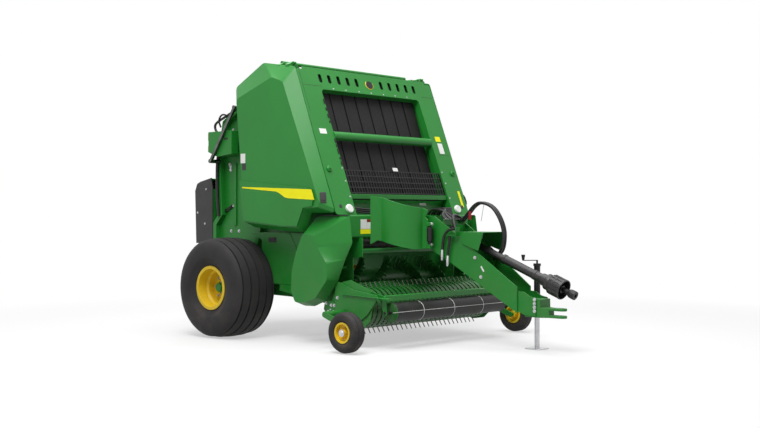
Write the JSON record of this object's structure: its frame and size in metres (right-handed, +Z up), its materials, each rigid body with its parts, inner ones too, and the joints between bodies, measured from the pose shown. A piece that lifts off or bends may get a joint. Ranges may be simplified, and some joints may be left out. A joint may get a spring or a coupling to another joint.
{
  "type": "round baler",
  "caption": "Towed round baler with belts, a lifting tail gate, a tined pickup, side shields, a tongue with jack and driveline, and wide ribbed tyres.",
  "frame": {"origin": "on the floor, midway across and midway between the driveline's end and the net wrap box", "axes": "+Z up, -Y the way it is towed, +X across; the machine's own left hand is +X"},
  "size_m": [2.8, 4.4644, 2.8499],
  "materials": {
    "belt_rubber": "matt black woven belt",
    "black_paint": "satin black paint",
    "black_plastic": "black moulded plastic",
    "bright_steel": "zinc plated steel",
    "chrome_rod": "chromed rod",
    "dark_steel": "dark steel",
    "hose_rubber": "black hydraulic hose",
    "net_white": "white knitted net",
    "red_lens": "red lens",
    "rim_yellow": "golden yellow paint",
    "shield_green": "satin green paint",
    "tyre_rubber": "matt black tyre",
    "white_lens": "white lens"
  },
  "bodies": {
    "frame": {"axle": "shield_green", "frame_lugs": "shield_green", "frame_rollers": "dark_steel", "front_beam": "shield_green", "front_belts": "belt_rubber", "front_face": "shield_green", "gearbox": "shield_green", "guard_screen": "black_paint", "gussets": "shield_green", "hitch": "shield_green", "hose_couplers": "bright_steel", "hose_drop_far": "hose_rubber", "hose_drop_near": "hose_rubber", "hose_loop_far": "hose_rubber", "hose_loop_near": "hose_rubber", "jack_sleeve": "black_paint", "lower_panels": "shield_green", "lower_shields": "shield_green", "shaft_shield": "shield_green", "side_sheets": "shield_green", "throat": "shield_green", "tongue": "shield_green", "work_lights": "white_lens"},
    "gate": {"gate_sides": "shield_green", "gate_frame": "shield_green", "gate_rollers": "dark_steel", "gate_belts": "belt_rubber", "belt_struts": "bright_steel", "tail_lamps": "red_lens", "net_ends": "black_plastic", "net_trough": "shield_green", "net_roll": "net_white"},
    "net_lid": {"net_cover": "shield_green"},
    "barrel_right": {"cylinder_barrel_right": "black_paint"},
    "barrel_left": {"cylinder_barrel_left": "black_paint"},
    "rod_right": {"cylinder_rod_right": "chrome_rod"},
    "rod_left": {"cylinder_rod_left": "chrome_rod"},
    "shield_right": {"upper_shield_right": "shield_green"},
    "shield_left": {"upper_shield_left": "shield_green"},
    "wheel_right": {"main_tyre_right": "tyre_rubber", "main_rim_right": "rim_yellow"},
    "wheel_left": {"main_tyre_left": "tyre_rubber", "main_rim_left": "rim_yellow"},
    "pickup": {"pickup_frame": "shield_green", "pickup_deflectors": "shield_green", "strippers": "shield_green"},
    "reel": {"tine_reel": "bright_steel"},
    "baffle": {"baffle_frame": "shield_green"},
    "roller": {"baffle_roller": "black_paint"},
    "gauge_right": {"gauge_tyre_right": "tyre_rubber", "gauge_rim_right": "rim_yellow"},
    "gauge_left": {"gauge_tyre_left": "tyre_rubber", "gauge_rim_left": "rim_yellow"},
    "rotor": {"feed_rotor": "shield_green"},
    "leg": {"jack_leg": "bright_steel"},
    "driveline": {"drive_tube": "black_plastic"},
    "drive_slide": {"drive_sleeve": "black_plastic", "drive_yoke": "dark_steel"}
  },
  "joints": [
    {"name": "wheel_spin_right", "type": "hinge", "parent": "frame", "child": "wheel_right", "pos_m": [1.13, 1.34417, 0.52], "axis": [1, 0, 0], "continuous": true},
    {"name": "wheel_spin_left", "type": "hinge", "parent": "frame", "child": "wheel_left", "pos_m": [-1.13, 1.34417, 0.52], "axis": [1, 0, 0], "continuous": true},
    {"name": "gate_lift", "type": "hinge", "parent": "frame", "child": "gate", "pos_m": [0, 0.72417, 2.62], "axis": [1, 0, 0], "range_deg": [0, 60]},
    {"name": "net_cover_lift", "type": "hinge", "parent": "gate", "child": "net_lid", "pos_m": [0, 1.94217, 1.668], "axis": [1, 0, 0], "range_deg": [0, 70]},
    {"name": "cylinder_swing_right", "type": "hinge", "parent": "frame", "child": "barrel_right", "pos_m": [0.902, 0.78417, 1.3], "axis": [1, 0, 0], "range_deg": [0, 8.36]},
    {"name": "cylinder_stroke_right", "type": "slide", "parent": "barrel_right", "child": "rod_right", "axis": [0, 0.4179, 0.9085], "range_m": [0, 0.5846]},
    {"name": "shield_lift_right", "type": "hinge", "parent": "frame", "child": "shield_right", "pos_m": [0.985, 0.57417, 2.806], "axis": [0, -1, 0], "range_deg": [0, 60]},
    {"name": "cylinder_swing_left", "type": "hinge", "parent": "frame", "child": "barrel_left", "pos_m": [-0.902, 0.78417, 1.3], "axis": [1, 0, 0], "range_deg": [0, 8.36]},
    {"name": "cylinder_stroke_left", "type": "slide", "parent": "barrel_left", "child": "rod_left", "axis": [0, 0.4179, 0.9085], "range_m": [0, 0.5846]},
    {"name": "shield_lift_left", "type": "hinge", "parent": "frame", "child": "shield_left", "pos_m": [-0.985, 0.57417, 2.806], "axis": [0, 1, 0], "range_deg": [0, 60]},
    {"name": "pickup_lift", "type": "hinge", "parent": "frame", "child": "pickup", "pos_m": [0, 0.09417, 0.62], "axis": [-1, 0, 0], "range_deg": [0, 12]},
    {"name": "reel_spin", "type": "hinge", "parent": "pickup", "child": "reel", "pos_m": [0, -0.35583, 0.375], "axis": [1, 0, 0], "continuous": true},
    {"name": "baffle_lift", "type": "hinge", "parent": "pickup", "child": "baffle", "pos_m": [0, -0.27583, 0.585], "axis": [-1, 0, 0], "range_deg": [0, 20]},
    {"name": "roller_spin", "type": "hinge", "parent": "baffle", "child": "roller", "pos_m": [0, -0.72083, 0.352], "axis": [1, 0, 0], "continuous": true},
    {"name": "gauge_spin_right", "type": "hinge", "parent": "pickup", "child": "gauge_right", "pos_m": [1.3275, -0.60183, 0.194], "axis": [1, 0, 0], "continuous": true},
    {"name": "gauge_spin_left", "type": "hinge", "parent": "pickup", "child": "gauge_left", "pos_m": [-1.3275, -0.60183, 0.194], "axis": [1, 0, 0], "continuous": true},
    {"name": "rotor_spin", "type": "hinge", "parent": "frame", "child": "rotor", "pos_m": [0, 0.09417, 0.62], "axis": [1, 0, 0], "continuous": true},
    {"name": "jack_travel", "type": "slide", "parent": "frame", "child": "leg", "axis": [0, 0, 1], "range_m": [0, 0.28]},
    {"name": "driveline_tilt", "type": "hinge", "parent": "frame", "child": "driveline", "pos_m": [0, -0.70583, 1.136], "axis": [-1, 0, 0], "range_deg": [0, 8]},
    {"name": "driveline_stretch", "type": "slide", "parent": "driveline", "child": "drive_slide", "axis": [0, -0.9298, -0.3681], "range_m": [0, 0.25]}
  ],
  "couplings": [
    {"joint": "cylinder_swing_right", "follows": "gate_lift", "ratio": 0.13664},
    {"joint": "cylinder_stroke_right", "follows": "gate_lift", "m_per_rad": 0.55272},
    {"joint": "cylinder_swing_left", "follows": "gate_lift", "ratio": 0.13664},
    {"joint": "cylinder_stroke_left", "follows": "gate_lift", "m_per_rad": 0.55272}
  ]
}
